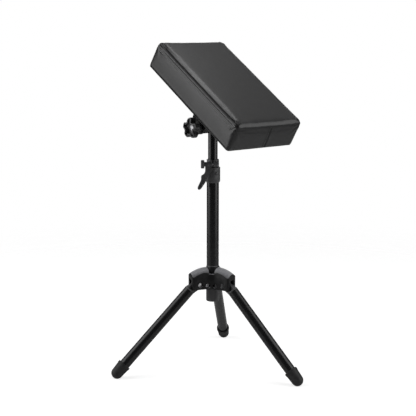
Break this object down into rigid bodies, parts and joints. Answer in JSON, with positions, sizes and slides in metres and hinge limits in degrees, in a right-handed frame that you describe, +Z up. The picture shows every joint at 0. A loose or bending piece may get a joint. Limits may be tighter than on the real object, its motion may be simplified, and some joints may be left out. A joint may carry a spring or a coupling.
{
  "type": "tattoo arm rest stand",
  "caption": "Folding tripod stand with a telescopic clamped post and a padded arm rest that tilts on a cross bolt held by a star knob.",
  "frame": {"origin": "on the floor, under the middle of the whole stand as seen from above", "axes": "+Z up along the post, -Y towards the front, where the clamp lever and two of the legs are"},
  "size_m": [0.4976, 0.5068, 0.8605],
  "materials": {
    "tube_paint": "satin",
    "hub_cast": "satin",
    "black_plastic": "matte",
    "white_plastic": "matte",
    "black_rubber": "matte",
    "zinc_steel": "plated",
    "dark_steel": "blackened",
    "bright_insert": "polished",
    "plywood": "raw",
    "foam": "open cell",
    "pad_leather": "satin",
    "under_fabric": "woven"
  },
  "bodies": {
    "base": {"hub": "hub_cast", "lower_tube": "tube_paint", "tube_cap": "black_plastic", "pivot_screws": "zinc_steel", "stop_screws": "zinc_steel", "leg_nuts": "dark_steel", "clamp_collar": "black_plastic", "collar_screw": "zinc_steel", "guide_bush": "black_plastic", "clamp_bolt": "zinc_steel", "round_nut": "black_plastic"},
    "leg_left": {"leg_tube_left": "tube_paint", "leg_tongue_left": "black_plastic", "foot_left": "black_rubber"},
    "leg_right": {"leg_tube_right": "tube_paint", "leg_tongue_right": "black_plastic", "foot_right": "black_rubber"},
    "leg_rear": {"leg_tube_rear": "tube_paint", "leg_tongue_rear": "black_plastic", "foot_rear": "black_rubber"},
    "lever": {"clamp_lever": "black_plastic"},
    "glide": {"glide_bush": "white_plastic"},
    "post": {"upper_tube": "tube_paint", "cross_tube": "tube_paint", "cross_bushes": "black_plastic", "friction_washers": "black_rubber"},
    "pad": {"pad_bracket": "tube_paint", "tilt_bolt": "zinc_steel", "knob_washer": "zinc_steel", "bracket_screws": "zinc_steel", "t_nuts": "zinc_steel", "pad_board": "plywood", "pad_foam": "foam", "pad_cover": "pad_leather", "under_cloth": "under_fabric"},
    "knob": {"star_knob": "black_plastic", "knob_insert": "bright_insert"}
  },
  "joints": [
    {"name": "leg_left_fold", "type": "hinge", "parent": "base", "child": "leg_left", "pos_m": [-0.03637, -0.04868, 0.23023], "axis": [0.5, -0.866, 0], "range_deg": [0, 45.2]},
    {"name": "leg_right_fold", "type": "hinge", "parent": "base", "child": "leg_right", "pos_m": [0.03637, -0.04868, 0.23023], "axis": [0.5, 0.866, 0], "range_deg": [0, 45.2]},
    {"name": "leg_rear_fold", "type": "hinge", "parent": "base", "child": "leg_rear", "pos_m": [0, 0.01432, 0.23023], "axis": [-1, 0, 0], "range_deg": [0, 45.2]},
    {"name": "height_slide", "type": "slide", "parent": "base", "child": "glide", "axis": [0, 0, 1], "range_m": [-0.065, 0.22]},
    {"name": "post_swivel", "type": "hinge", "parent": "glide", "child": "post", "pos_m": [0, -0.02768, 0.55028], "axis": [0, 0, 1], "continuous": true},
    {"name": "pad_tilt", "type": "hinge", "parent": "post", "child": "pad", "pos_m": [0, -0.02768, 0.64603], "axis": [0.6691, 0.7431, 0], "range_deg": [-123, 57]},
    {"name": "knob_turn", "type": "hinge", "parent": "pad", "child": "knob", "pos_m": [0, -0.02768, 0.64603], "axis": [0.6691, 0.7431, 0], "continuous": true},
    {"name": "clamp_lever_turn", "type": "hinge", "parent": "base", "child": "lever", "pos_m": [-0.00215, -0.05162, 0.55028], "axis": [-0.9925, -0.1219, 0], "range_deg": [0, 110]}
  ]
}
